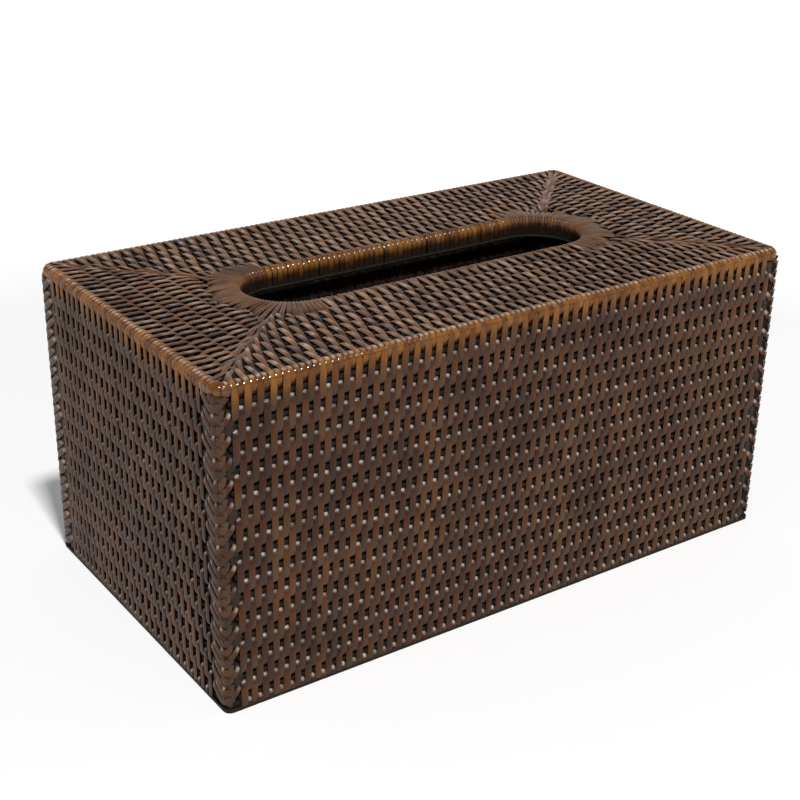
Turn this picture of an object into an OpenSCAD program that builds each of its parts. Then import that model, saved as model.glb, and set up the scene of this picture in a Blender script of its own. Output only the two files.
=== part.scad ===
// Tissue box cover: an open-bottomed box of flat rattan peel woven over round cane rods,
// with a bound slot in its top, herringbone corners and a flat cane strip as its foot.
// Origin at the middle of the foot, X along the long walls, the front wall faces -Y.

/* [Box] */
// Length over the weave of the short walls
box_l = 267; // [230:1:300]
// Depth over the weave of the long walls
box_d = 147; // [132:1:170]
// Height from the table to the top of the weave
box_h = 128; // [100:1:150]

/* [Peel strands] */
// Thickness of a strand
strand_t = 0.8; // [0.6:0.05:0.9]
// Width of a strand in the woven faces
strand_w = 3.2; // [2.6:0.1:3.3]
// Spacing of the strands in the woven faces, centre to centre
strand_pitch = 3.5; // [3.4:0.1:4.5]
// Width of the narrower strands that bind the slot ends, the mitres and the corners
bind_w = 2.2; // [1.8:0.1:2.3]
// Spacing of the binding strands, centre to centre
bind_pitch = 2.45; // [2.4:0.05:3]
// Clearance between a strand and the rod that it lies on
seat_gap = 0.05; // [0.02:0.01:0.08]

/* [Rods] */
// Diameter of the rods that the strands weave over
rod_d = 2.2; // [1.8:0.1:2.4]
// Wanted spacing of the rods up the walls
wall_rod_spacing = 8.1; // [7.6:0.1:9]
// Wanted spacing of the rods across the top
top_rod_spacing = 7.6; // [7.5:0.1:9]
// Diameter of the rail round the top edge, and of the rod round the slot
rail_d = 4.4; // [3.8:0.1:5]
// Bend of the rail at the corners, at its middle line
rail_bend = 2.5; // [2.5:0.1:4]
// Diameter of the upright corner posts
post_d = 4.8; // [4:0.1:5]
// Bend of the base hoop at the corners, at its middle line
hoop_bend = 2; // [1.6:0.1:3]

/* [Slot] */
// Length of the slot at the middle of its rim rod
slot_l = 166; // [150:1:180]
// Width of the slot at the middle of its rim rod
slot_w = 42.8; // [38:0.2:48]
// How far the packed strands round each slot end reach out from the rim rod
fan_reach = 9.1; // [7:0.1:10]
// Depth of the bound slot edge, from the top face to under its hem
slot_edge_h = 9.4; // [8.5:0.1:12]
// Diameter of the thin cane that hems the slot edge
hem_d = 1.4; // [1:0.1:1.8]

/* [Corners and foot] */
// Width of the herringbone on the long walls
braid_long_w = 6; // [5:0.5:8]
// Width of the herringbone on the short walls
braid_short_w = 11; // [9:0.5:13]
// Thickness of the foot strip
foot_t = 1.2; // [0.8:0.1:2]
// Width of the foot strip
foot_w = 5.6; // [4:0.1:8]
// How far the foot strip lies inside the woven faces
foot_inset = 0.2; // [0:0.1:1]

/* [Hidden] */

// Steepest lean of a strand, where it dives between the rail and the next rod
dive_angle = 57;
// Slopes of the herringbone arms on the long and short walls
arm_long_slope = 52;
arm_short_slope = 35;
// Clearance between the two families of strands and what runs along a mitre
mitre_gap = 0.2;
// Clearance between a cut strand end and what it meets
end_gap = 0.15;
// Shortest piece of strand that is kept past a bend when its end is cut
least_tail = 0.5;
// Overrun of cutting shapes
over = 1;
// Finest step of a worked-out place, so that loops of rod close exactly
grain = 0.01;

$fn = 48;
rod_r = rod_d / 2;
rail_r = rail_d / 2;
post_r = post_d / 2;

// Distances from the middle of a rod to the middle line of a strand that lies on it
strand_lie = seat_gap + strand_t / 2;
rod_turn = rod_r + strand_lie;
rail_turn = rail_r + strand_lie;
rail_wrap_r = rail_r + seat_gap + strand_t;

// Depth of the rail below the top face and behind each wall face
rail_s = rail_wrap_r;
outer_u = strand_t / 2;

// Lean, swing and rod depth of a strand that runs straight between crests
function lean(pitch) = asin(2 * rod_turn / pitch);
function swing(pitch) = pitch / 2 * tan(lean(pitch));
function snapped(size) = round(size / grain) * grain;
function rod_depth(pitch) = snapped(swing(pitch) + strand_t / 2 / cos(lean(pitch)));

// Places of the rods: along a face from its top edge, or from its outer edge on the top
first_rod_s = rail_s + (rail_turn + rod_turn) / sin(dive_angle);
hoop_z = foot_t + seat_gap + rod_r;
hoop_s = box_h - hoop_z;
last_rod_s = hoop_s - 2 * rod_r - 2 * seat_gap;
wall_gaps = round((last_rod_s - first_rod_s) / wall_rod_spacing);
wall_pitch = (last_rod_s - first_rod_s) / wall_gaps;
wall_u = rod_depth(wall_pitch);

slot_s_long = box_d / 2 - slot_w / 2;
slot_s_end = box_l / 2 - slot_l / 2;
slot_r = slot_w / 2;
slot_half = slot_l / 2 - slot_r;
hem_in = snapped(rail_turn);
skirt_end_u = slot_edge_h - hem_d - end_gap;
fan_r = slot_r + fan_reach;
last_top_s = slot_s_long - (first_rod_s - rail_s);
top_gaps = round((last_top_s - first_rod_s) / top_rod_spacing);
top_pitch = (last_top_s - first_rod_s) / top_gaps;
top_u = rod_depth(top_pitch);

wall_thick = 2 * wall_u;
post_s = strand_t + seat_gap + post_r;
mitre_half_w = bind_w + seat_gap;

// The four sides as seen from above: 0 front, 1 right, 2 back, 3 left
function is_long(side) = side % 2 == 0;
function half_run(side) = is_long(side) ? box_l / 2 : box_d / 2;
function half_out(side) = is_long(side) ? box_d / 2 : box_l / 2;
function braid_w(side) = is_long(side) ? braid_long_w : braid_short_w;
function strand_count(side) = floor(2 * (half_run(side) - braid_w(side)) / strand_pitch);
function strand_x(side, i) = (i - (strand_count(side) - 1) / 2) * strand_pitch;
function wall_rod_s(k) = first_rod_s + k * wall_pitch;
function top_rod_s(k) = first_rod_s + k * top_pitch;
function top_rod_last(side) = is_long(side) ? top_gaps
    : min(top_gaps, floor((slot_s_end - fan_reach - rod_r - end_gap - first_rod_s) / top_pitch));

// Puts children on a side: x runs along the wall, y inward from its outer face, z up
module on_side(side) {
    rotate([0, 0, 90 * side])
        translate([0, -half_out(side), 0])
            children();
}

// Outline of a ribbon of even thickness along a path of [depth, distance] points
function normal(path, i) =
    let (d = path[i + 1] - path[i]) [-d[1], d[0]] / norm(d);
function shifted(path, i, t) =
    let (last = len(path) - 1,
         a = normal(path, max(i - 1, 0)),
         b = normal(path, min(i, last - 1)),
         m = a + b)
    path[i] + m * 2 * t / (m * m);
function ribbon(path) =
    let (last = len(path) - 1)
    concat([for (i = [0:last]) shifted(path, i, strand_t / 2)],
           [for (i = [last:-1:0]) shifted(path, i, -strand_t / 2)]);

// Start of every strand: from the rail's 45 degree line to the rail's outer side
function rail_start() = [
    [rail_s - rail_turn * cos(45), rail_s - rail_turn * sin(45)],
    [outer_u, rail_s - rail_turn * tan(22.5)]
];
// The dive from outside the rail to inside the first rod, for a rod depth u and swing a
function dive(u, a) =
    let (s = rail_s + rail_turn * tan(dive_angle / 2))
    [[outer_u, s], [u + a, s + (u + a - outer_u) / tan(dive_angle)]];

// A strand is inside rod k when its number and k have the same parity
function side_sign(i, k) = (i + k) % 2 == 0 ? 1 : -1;
function crests(i, gaps, pitch) = [
    for (k = [0:gaps])
        [rod_depth(pitch) + side_sign(i, k) * swing(pitch), first_rod_s + k * pitch]
];
function wall_path(i) = concat(
    rail_start(),
    side_sign(i, 0) > 0 ? dive(wall_u, swing(wall_pitch)) : [],
    crests(i, wall_gaps, wall_pitch),
    [[wall_u + side_sign(i, wall_gaps) * rod_turn, box_h - foot_t - end_gap]]);

// Path over the top, with its rise from the last rod to the rim rod
function top_path(i) =
    let (d = dive(top_u, swing(top_pitch)))
    concat(
        rail_start(),
        side_sign(i, 0) > 0 ? d : [],
        crests(i, top_gaps, top_pitch),
        side_sign(i, top_gaps) > 0
            ? [for (j = [1, 0]) [d[j][0], slot_s_long - (d[j][1] - rail_s)]] : []);
// Turn over the rim rod and down its slot side to the hem
function rim_hook() =
    let (c = rail_turn * tan(22.5), s = slot_s_long)
    [[outer_u, s + c], [rail_s - c, s + rail_turn], [skirt_end_u, s + rail_turn]];

// A path cut square at distance s_end
function cut_path(path, s_end) =
    let (kept = [for (p = path) if (p[1] < s_end - least_tail) p],
         k = len(kept),
         a = path[k - 1],
         b = path[min(k, len(path) - 1)],
         share = k < len(path) ? (s_end - a[1]) / (b[1] - a[1]) : 0)
    k < len(path) ? concat(kept, [a + (b - a) * share]) : kept;

// Where a top strand ends, by its distance c from the end of its side
function mitre_end(c) = c - strand_w / 2 - (mitre_half_w + mitre_gap) * sqrt(2);
function circle_end(centre_s, radius, off) =
    abs(off) < radius ? centre_s - sqrt(radius * radius - off * off) : centre_s - strand_w;
function long_end(x) =
    min(mitre_end(box_l / 2 - abs(x)),
        circle_end(box_d / 2, slot_r + rail_wrap_r + end_gap + strand_t / 2,
                   max(abs(x) - strand_w / 2 - slot_half, 0)));
function short_end(x) =
    min(mitre_end(box_d / 2 - abs(x)),
        circle_end(slot_s_end + slot_r, fan_r + end_gap, max(abs(x) - strand_w / 2, 0)));

// Flat peel strand lying in the plane across its side
module strand(points, width = strand_w) {
    rotate([90, 0, 90])
        linear_extrude(height = width, center = true)
            polygon(points);
}

module wall_strands(side) {
    on_side(side)
        for (i = [0:strand_count(side) - 1])
            translate([strand_x(side, i), 0, 0])
                strand([for (p = ribbon(wall_path(i))) [p[0], box_h - p[1]]]);
}

module top_strands(side) {
    on_side(side)
        for (i = [0:strand_count(side) - 1])
            let (x = strand_x(side, i),
                 wraps_rim = is_long(side) && abs(x) + strand_w / 2 < slot_half,
                 s_end = is_long(side) ? long_end(x) : short_end(x),
                 path = wraps_rim
                     ? concat(top_path(i), rim_hook())
                     : s_end < first_rod_s
                         ? concat(rail_start(), [[outer_u, s_end]])
                         : cut_path(concat(top_path(i), [[outer_u, box_d]]), s_end))
            translate([x, 0, 0])
                strand([for (p = ribbon(path)) [p[1], box_h - p[0]]]);
}

module wall_rods(side) {
    rod_l = 2 * (half_run(side) - post_s - post_r - seat_gap);
    on_side(side)
        for (k = [0:wall_gaps])
            translate([0, wall_u, box_h - wall_rod_s(k)])
                rotate([0, 90, 0])
                    cylinder(r = rod_r, h = rod_l, center = true);
}

// Rods across one side of the top, mitred where the rods of the next side meet them
module top_rods(side) {
    reach = top_rod_s(top_gaps) + rod_r + over;
    corner = half_run(side) - mitre_gap / 2;
    on_side(side)
        intersection() {
            for (k = [0:top_rod_last(side)])
                translate([0, top_rod_s(k), box_h - top_u])
                    rotate([0, 90, 0])
                        cylinder(r = rod_r, h = 2 * half_run(side), center = true);
            translate([0, 0, box_h - wall_thick])
                linear_extrude(height = wall_thick)
                    polygon([[-corner, 0], [corner, 0], [corner - reach, reach], [reach - corner, reach]]);
        }
}

// Closed loop of rod whose middle line is a rectangle with round corners
module rod_loop(half_x, half_y, bend, r) {
    for (sx = [-1, 1])
        for (sy = [-1, 1])
            translate([sx * (half_x - bend), sy * (half_y - bend), 0])
                rotate([0, 0, sx > 0 ? (sy > 0 ? 0 : 270) : (sy > 0 ? 90 : 180)])
                    rotate_extrude(angle = 90)
                        translate([bend, 0])
                            circle(r = r);
    for (sy = [-1, 1])
        translate([0, sy * half_y, 0])
            rotate([0, 90, 0])
                cylinder(r = r, h = 2 * (half_x - bend), center = true);
    if (half_y > bend)
        for (sx = [-1, 1])
            translate([sx * half_x, 0, 0])
                rotate([90, 0, 0])
                    cylinder(r = r, h = 2 * (half_y - bend), center = true);
}

// Rectangle over the woven faces, drawn in by an inset, with round corners
module plan(inset) {
    r = post_s - inset;
    for (sx = [-1, 1])
        for (sy = [-1, 1])
            translate([sx * (box_l / 2 - post_s), sy * (box_d / 2 - post_s)])
                circle(r = r);
    square([box_l - 2 * inset, box_d - 2 * post_s], center = true);
    square([box_l - 2 * post_s, box_d - 2 * inset], center = true);
}

module foot_strip() {
    color("#2b2a22")
        linear_extrude(height = foot_t)
            difference() {
                plan(foot_inset);
                square([box_l - 2 * (foot_inset + foot_w), box_d - 2 * (foot_inset + foot_w)], center = true);
            }
}

module base_hoop() {
    color("#241a14")
        translate([0, 0, hoop_z])
            rod_loop(box_l / 2 - wall_u, box_d / 2 - wall_u, hoop_bend, rod_r);
}

module edge_rail() {
    color("#2a1c12")
        translate([0, 0, box_h - rail_s])
            rod_loop(box_l / 2 - rail_s, box_d / 2 - rail_s, rail_bend, rail_r);
}

module slot_rim_rod() {
    color("#2a1c12")
        translate([0, 0, box_h - rail_s])
            rod_loop(slot_l / 2, slot_w / 2, slot_w / 2, rail_r);
}

// Thin cane along the lower ends of the strands that hang from the rim rod
module slot_hem() {
    color("#3a3630")
        translate([0, 0, box_h - slot_edge_h + hem_d / 2])
            rod_loop(slot_l / 2 - hem_in, slot_w / 2 - hem_in, slot_w / 2 - hem_in, hem_d / 2);
}

module corner_posts() {
    low = hoop_z + rod_r + seat_gap;
    high = box_h - rail_s - rail_r - seat_gap;
    color("#241a14")
        for (sx = [-1, 1])
            for (sy = [-1, 1])
                translate([sx * (box_l / 2 - post_s), sy * (box_d / 2 - post_s), low])
                    cylinder(r = post_r, h = high - low);
}

// Peel strand wound once round the rim rod at a slot end, with one tail in the packed fan
// and one down to the hem
module rim_wrap(angle) {
    skirt_h = skirt_end_u - rail_s;
    rotate([0, 0, angle]) {
        translate([slot_r - rail_wrap_r, -bind_w / 2, -skirt_h])
            cube([strand_t, bind_w, skirt_h]);
        translate([slot_r, 0, 0])
            rotate([90, 0, 0])
                difference() {
                    cylinder(r = rail_wrap_r, h = bind_w, center = true);
                    cylinder(r = rail_wrap_r - strand_t, h = bind_w + over, center = true);
                }
        if (abs(angle) <= 45)
            translate([slot_r, -bind_w / 2, rail_wrap_r - strand_t])
                cube([fan_reach, bind_w, strand_t]);
    }
}

module slot_end_wraps() {
    inner_r = slot_r - rail_wrap_r;
    count = floor(180 / (2 * asin(bind_pitch / 2 / inner_r)));
    step = 180 / count;
    color("#8a5a24")
        translate([slot_half, 0, box_h - rail_s])
            for (i = [0:count - 1])
                rim_wrap((i + 0.5) * step - 90);
}

// Two strands side by side along each mitre, woven over the corners of the top rods. Both
// pass outside the first rod, and one passes inside each rod after it.
module mitre_strand(i) {
    diag = sqrt(2);
    flat_back = rod_r * 2 / 3;
    flat_on = mitre_half_w + flat_back;
    start = 2 * rail_s * diag + bind_w / 2;
    reach = fan_r + end_gap + strand_t;
    end_s = slot_s_end + slot_r;
    aside = (end_s - box_d / 2) / diag;
    finish = (end_s + box_d / 2) / diag - sqrt(max(reach * reach - aside * aside, 0));
    crossings = [for (k = [0:top_gaps], f = [-flat_back, flat_on])
        [top_u + (k == 0 ? -1 : side_sign(i, k)) * rod_turn, top_rod_s(k) * diag + f]];
    last_u = crossings[len(crossings) - 1][0];
    path = cut_path(concat([[outer_u, start]], crossings, [[last_u, box_l]]), finish);
    strand([for (p = ribbon(path)) [p[1], box_h - p[0]]], bind_w);
}

module mitre_strands() {
    color("#6b4a38")
        for (sx = [-1, 1])
            for (sy = [-1, 1])
                translate([sx * box_l / 2, sy * box_d / 2, 0])
                    rotate([0, 0, sx * sy > 0 ? (sx > 0 ? 135 : -45) : (sx > 0 ? 45 : -135)])
                        for (i = [0, 1])
                            translate([(i - 0.5) * mitre_half_w, 0, 0])
                                mitre_strand(i);
}

// Short strands over each corner of the rail, and wound round it beside the short woven faces
module rail_corner_wraps() {
    step = 30;
    gap_angle = 2;
    low = -40;
    high = 100;
    far = 2 * rail_wrap_r;
    bend_s = rail_s + rail_bend;
    bare = braid_short_w - bend_s;
    wound = floor(bare / bind_pitch);
    color("#8a5a24")
        for (sx = [-1, 1])
            for (sy = [-1, 1]) {
                turn = sx > 0 ? (sy > 0 ? 0 : 270) : (sy > 0 ? 90 : 180);
                translate([sx * (box_l / 2 - bend_s), sy * (box_d / 2 - bend_s), box_h - rail_s])
                    for (i = [0:2])
                        rotate([0, 0, turn + i * step + gap_angle / 2])
                            rotate_extrude(angle = step - gap_angle)
                                translate([rail_bend, 0])
                                    intersection() {
                                        difference() {
                                            circle(r = rail_wrap_r);
                                            circle(r = rail_wrap_r - strand_t);
                                        }
                                        polygon([[0, 0], far * [cos(low), sin(low)], far * [1, 0],
                                                 far * [1, 1], far * [cos(high), sin(high)]]);
                                    }
                for (i = [0:wound - 1])
                    translate([sx * (box_l / 2 - rail_s),
                               sy * (box_d / 2 - bend_s - (i + 0.5) * bare / wound), box_h - rail_s])
                        rotate([90, 0, 0])
                            difference() {
                                cylinder(r = rail_wrap_r, h = bind_w, center = true);
                                cylinder(r = rail_wrap_r - strand_t, h = bind_w + over, center = true);
                            }
            }
}

// Skin of one strand's thickness round a corner, in the corner's own frame
module corner_skin(low, high) {
    reach = max(braid_long_w, braid_short_w);
    translate([0, 0, low])
        linear_extrude(height = high - low)
            difference() {
                union() {
                    translate([post_s, post_s])
                        circle(r = post_s);
                    translate([post_s, 0])
                        square([reach - post_s, strand_t]);
                    translate([0, post_s])
                        square([strand_t, reach - post_s]);
                }
                translate([post_s, post_s])
                    circle(r = post_s - strand_t);
                translate([post_s, strand_t])
                    square([reach, reach]);
                translate([strand_t, post_s])
                    square([reach, reach]);
            }
}

// Herringbone of short strands over a corner post: below every wall rod a pair of arms falls
// to the corner on both walls
module corner_braid(sx, sy) {
    long_h = bind_w / cos(arm_long_slope);
    short_h = bind_w / cos(arm_short_slope);
    long_rise = braid_long_w * tan(arm_long_slope);
    short_run = braid_short_w - post_s - seat_gap;
    short_rise = short_run * tan(arm_short_slope);
    low = foot_t + seat_gap;
    high = box_h - rail_s - rail_wrap_r - seat_gap;
    color("#6e4526")
        translate([sx * box_l / 2, sy * box_d / 2, 0])
            mirror([sx > 0 ? 1 : 0, 0, 0])
                mirror([0, sy > 0 ? 1 : 0, 0])
                    intersection() {
                        corner_skin(low, high);
                        for (k = [-2:wall_gaps + 1], j = [1, 2]) {
                            rod_low = box_h - wall_rod_s(k) - rod_r;
                            translate([0, post_s, rod_low - long_rise - j * (long_h + seat_gap)])
                                rotate([90, 0, 0])
                                    linear_extrude(height = post_s + over)
                                        polygon([[0, 0], [braid_long_w, long_rise],
                                                 [braid_long_w, long_rise + long_h], [0, long_h]]);
                            translate([-over, post_s + seat_gap,
                                       rod_low - short_rise - j * (short_h + seat_gap)])
                                rotate([90, 0, 90])
                                    linear_extrude(height = post_s)
                                        polygon([[0, 0], [short_run, short_rise],
                                                 [short_run, short_rise + short_h], [0, short_h]]);
                        }
                    }
}

foot_strip();
base_hoop();
edge_rail();
slot_rim_rod();
slot_hem();
corner_posts();
color("#241a14") wall_rods(0);  // front_wall_rods
color("#241a14") wall_rods(2);  // back_wall_rods
color("#241a14") wall_rods(3);  // left_wall_rods
color("#241a14") wall_rods(1);  // right_wall_rods
color("#241a14") top_rods(0);  // top_front_rods
color("#241a14") top_rods(2);  // top_back_rods
color("#241a14") top_rods(3);  // top_left_rods
color("#241a14") top_rods(1);  // top_right_rods
color("#6b4a30") wall_strands(0);  // front_wall_strands
color("#6b4a30") wall_strands(2);  // back_wall_strands
color("#5f4a3c") wall_strands(3);  // left_wall_strands
color("#5f4a3c") wall_strands(1);  // right_wall_strands
color("#70503e") top_strands(0);  // top_front_strands
color("#70503e") top_strands(2);  // top_back_strands
color("#70503e") top_strands(3);  // top_left_strands
color("#70503e") top_strands(1);  // top_right_strands
mitre_strands();
mirror([1, 0, 0]) slot_end_wraps();  // slot_end_wraps_left
slot_end_wraps();  // slot_end_wraps_right
rail_corner_wraps();
corner_braid(-1, -1);  // corner_braid_front_left
corner_braid(1, -1);  // corner_braid_front_right
corner_braid(-1, 1);  // corner_braid_back_left
corner_braid(1, 1);  // corner_braid_back_right
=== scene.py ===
import math

import bpy
import numpy as np
from mathutils import Matrix, Vector

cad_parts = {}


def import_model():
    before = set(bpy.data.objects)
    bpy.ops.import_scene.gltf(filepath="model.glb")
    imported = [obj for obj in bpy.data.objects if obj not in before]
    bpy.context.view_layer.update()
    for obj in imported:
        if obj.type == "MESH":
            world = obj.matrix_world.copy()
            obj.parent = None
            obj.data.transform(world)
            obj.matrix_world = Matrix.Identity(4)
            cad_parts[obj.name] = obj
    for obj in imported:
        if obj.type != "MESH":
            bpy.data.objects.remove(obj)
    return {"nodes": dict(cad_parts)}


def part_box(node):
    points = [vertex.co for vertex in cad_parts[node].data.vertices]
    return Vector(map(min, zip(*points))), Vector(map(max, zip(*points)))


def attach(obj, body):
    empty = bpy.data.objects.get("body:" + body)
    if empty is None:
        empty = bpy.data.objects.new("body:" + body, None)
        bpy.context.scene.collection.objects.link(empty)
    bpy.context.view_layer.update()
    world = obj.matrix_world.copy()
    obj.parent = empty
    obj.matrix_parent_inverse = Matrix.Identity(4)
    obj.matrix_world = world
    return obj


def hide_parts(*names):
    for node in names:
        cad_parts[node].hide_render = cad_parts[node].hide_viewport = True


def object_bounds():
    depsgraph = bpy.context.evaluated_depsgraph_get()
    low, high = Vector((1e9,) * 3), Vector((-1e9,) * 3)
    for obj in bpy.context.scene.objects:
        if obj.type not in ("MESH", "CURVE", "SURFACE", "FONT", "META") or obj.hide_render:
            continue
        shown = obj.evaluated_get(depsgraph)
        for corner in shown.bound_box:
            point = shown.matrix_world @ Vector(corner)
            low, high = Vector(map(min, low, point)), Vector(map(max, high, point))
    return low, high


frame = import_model()
cad_low, cad_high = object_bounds()

MM = 0.001
SEED = 20
rng = np.random.default_rng(SEED)

# ---- sizes of the peel, and how it lies ----
STRAND_T = 0.7
STRAND_W = 2.46
INNER_W = 5.6           # a strand spreads where it lies behind its neighbours, which closes the weave
STRAND_PITCH = 2.45
WIDTH_SPREAD = 0.03     # how unlike the strands are in width, as a share
SEAT = 0.05             # between a strand and the rod that it lies on
CLEAR = 0.1             # between the end of a strand and the foot or hem below it
CREST_GAP = 0.12        # between a crest and the face of the box
WALL_ROD_SPACING = 8.1  # near enough to count the rods by, as the next is
TOP_ROD_SPACING = 7.6
BRAID_LONG_W = 6.0      # width of the herringbone on the long walls, and below on the short ones
BRAID_SHORT_W = 11.0
FAN_REACH = 9.1         # from the edge of the slot to the end of the fan
EXIT_ANGLE = math.radians(54)     # how steeply a strand comes out from behind a rod of the top
KNUCKLE_ANGLE = math.radians(74)  # the same on the walls, where it turns in a tight knuckle
KNUCKLE_R = 1.45
DIVE_ANGLE = math.radians(56)     # how gently a wall strand goes in behind the next rod but one


def box_mm(node):
    low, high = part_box(node)
    return np.array(low) / MM, np.array(high) / MM


# ---- places read from the frame ----
HALF_X, HALF_Y, BOX_H = cad_high[0] / MM, cad_high[1] / MM, cad_high[2] / MM
lo, hi = box_mm("front_wall_rods")
ROD_R = (hi[1] - lo[1]) / 2
WALL_U = HALF_Y + (lo[1] + hi[1]) / 2
first, last = BOX_H - hi[2] + ROD_R, BOX_H - lo[2] - ROD_R
WALL_RODS = np.linspace(first, last, round((last - first) / WALL_ROD_SPACING) + 1)
lo, hi = box_mm("top_front_rods")
TOP_U = BOX_H - (lo[2] + hi[2]) / 2
first, last = HALF_Y + lo[1] + ROD_R, HALF_Y + hi[1] - ROD_R
TOP_RODS = np.linspace(first, last, round((last - first) / TOP_ROD_SPACING) + 1)
lo, hi = box_mm("top_right_rods")
TOP_RODS_SHORT = TOP_RODS[TOP_RODS < HALF_X - lo[0]]
lo, hi = box_mm("edge_rail")
RAIL_R = (hi[2] - lo[2]) / 2
RAIL_S = BOX_H - (hi[2] + lo[2]) / 2
RAIL_BEND = 2.5         # radius of the rail's own corners
lo, hi = box_mm("slot_rim_rod")
SLOT_R = hi[1] - RAIL_R
SLOT_HALF = hi[0] - RAIL_R - SLOT_R
lo, hi = box_mm("slot_hem")
SKIRT_END = BOX_H - hi[2] - CLEAR
lo, hi = box_mm("foot_strip")
FOOT_T = hi[2]
lo, hi = box_mm("base_hoop")
HOOP_S = BOX_H - (lo[2] + hi[2]) / 2
lo, hi = box_mm("corner_posts")
POST_R = 2.4            # the posts share one box, which doesn't tell it
POST_S = HALF_X - hi[0] + POST_R

LIE = SEAT + STRAND_T / 2
ROD_TURN = ROD_R + LIE
RAIL_TURN = RAIL_R + LIE
OUTER_U = STRAND_T / 2
CREST_U = OUTER_U + CREST_GAP
FAN_R = SLOT_R + FAN_REACH


# ---- ribbons ----
# Cross-section of a strand: shares of its half width and of its thickness, skin side first
SECTION = np.array([(-1, 0.08), (-0.56, 0.37), (0, 0.5), (0.56, 0.37), (1, 0.08),
                    (0.85, -0.5), (-0.85, -0.5)])
SECTION_EDGES = (0, 4)  # the sharp corners of the section, where skin and back meet
GLINT_ACROSS = np.array([0, 0.5, 1, 0.5, 0, 0, 0])  # round the section, so that a painted highlight is round
# What a strand tells its material: how light its stain is, how much painted shade it gets where it
# lies in the dark, how much painted light of the amber edge it gets, the share of the way along its
# float, and how strong its painted highlights are
MARKS = ("tone", "deep", "amber", "run", "glint")
MAP_SHIFT = 900         # strands start up to this far apart in their map, so that no two look alike
GIRTH, BAKE_ENDS = 2 * STRAND_W + 2.5, 4          # room for a strand in the bake map, and at its ends
BAKE_INSET = (0.3, 1.6)


def clip01(x):
    return np.clip(x, 0, 1)


def unit(v):
    return v / np.maximum(np.linalg.norm(v, axis=-1, keepdims=True), 1e-9)


class Strand:
    """One ribbon: its middle line, the outward side, half width, thickness and marks at each point."""

    def __init__(self, points, outward, half, tone=None, deep=0.0, amber=0.0, thick=STRAND_T, run=0.6,
                 glint=0.0):
        self.points = np.asarray(points, float)
        n = len(self.points)

        def at_each(value):
            return np.broadcast_to(np.asarray(value, float), (n,))

        self.outward = np.broadcast_to(np.asarray(outward, float), (n, 3))
        self.half, self.thick, self.run = at_each(half), at_each(thick), at_each(run)
        self.deep, self.amber, self.glint = (at_each(clip01(mark)) for mark in (deep, amber, glint))
        self.tone = at_each(rng.random() if tone is None else tone)
        self.start = rng.random() * MAP_SHIFT

    def steps(self):
        return np.linalg.norm(np.diff(self.points, axis=0), axis=1)

    def rings(self):
        along = unit(np.gradient(self.points, axis=0))
        side = unit(np.cross(along, self.outward))
        skin = np.cross(side, along)
        across, up = SECTION[:, 0], SECTION[:, 1]
        return (self.points[:, None]
                + side[:, None] * (self.half[:, None] * across)[..., None]
                + skin[:, None] * (self.thick[:, None] * up)[..., None])


def strand_faces(strand, ring, count):
    """Corners of a strand's quads and of its two caps, from vertex `count` on, the number of corners
    of each face, and their places in the strand's map in millimetres."""
    n, k = ring.shape[:2]
    v = np.concatenate([[0], np.cumsum(strand.steps())])
    edge = np.linalg.norm(np.roll(ring[n // 2], -1, axis=0) - ring[n // 2], axis=1)
    u = np.concatenate([[0], np.cumsum(edge)])
    a, b = np.meshgrid(np.arange(n - 1), np.arange(k), indexing="ij")
    a, b = a.ravel(), b.ravel()
    nxt = (b + 1) % k
    quads = np.stack([a * k + b, a * k + nxt, (a + 1) * k + nxt, (a + 1) * k + b], 1)
    quad_uv = np.stack([np.stack([u[b], v[a]], 1), np.stack([u[b + 1], v[a]], 1),
                        np.stack([u[b + 1], v[a + 1]], 1), np.stack([u[b], v[a + 1]], 1)], 1)
    caps = [np.arange(k)[::-1], np.arange(k) + (n - 1) * k]
    flat = SECTION * [strand.half[0], strand.thick[0]] + [GIRTH / 2, 0]
    cap_uv = [flat[::-1] + [0, -1], flat + [0, v[-1] + 1]]
    corners = np.concatenate([quads.ravel(), *caps]) + count
    sizes = np.concatenate([np.full(len(quads), 4), [k, k]])
    return corners, sizes, np.concatenate([quad_uv.reshape(-1, 2), *cap_uv])


def woven_mesh(name, verts, corners, sizes):
    """A mesh that is smooth but for its caps and for the two edges of each strand."""
    mesh = bpy.data.meshes.new(name)
    mesh.vertices.add(len(verts))
    mesh.vertices.foreach_set("co", (verts * MM).astype(np.float32).ravel())
    mesh.loops.add(len(corners))
    mesh.loops.foreach_set("vertex_index", corners.astype(np.int32))
    mesh.polygons.add(len(sizes))
    mesh.polygons.foreach_set("loop_start", np.concatenate([[0], np.cumsum(sizes)[:-1]]).astype(np.int32))
    mesh.update(calc_edges=True)
    mesh.polygons.foreach_set("use_smooth", sizes == 4)
    ends = np.empty(2 * len(mesh.edges), np.int32)
    mesh.edges.foreach_get("vertices", ends)
    ends = ends.reshape(-1, 2) % len(SECTION)
    sharp = (ends[:, 0] == ends[:, 1]) & np.isin(ends[:, 0], SECTION_EDGES)
    mesh.attributes.new("sharp_edge", "BOOLEAN", "EDGE").data.foreach_set("value", sharp)
    return mesh


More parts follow.
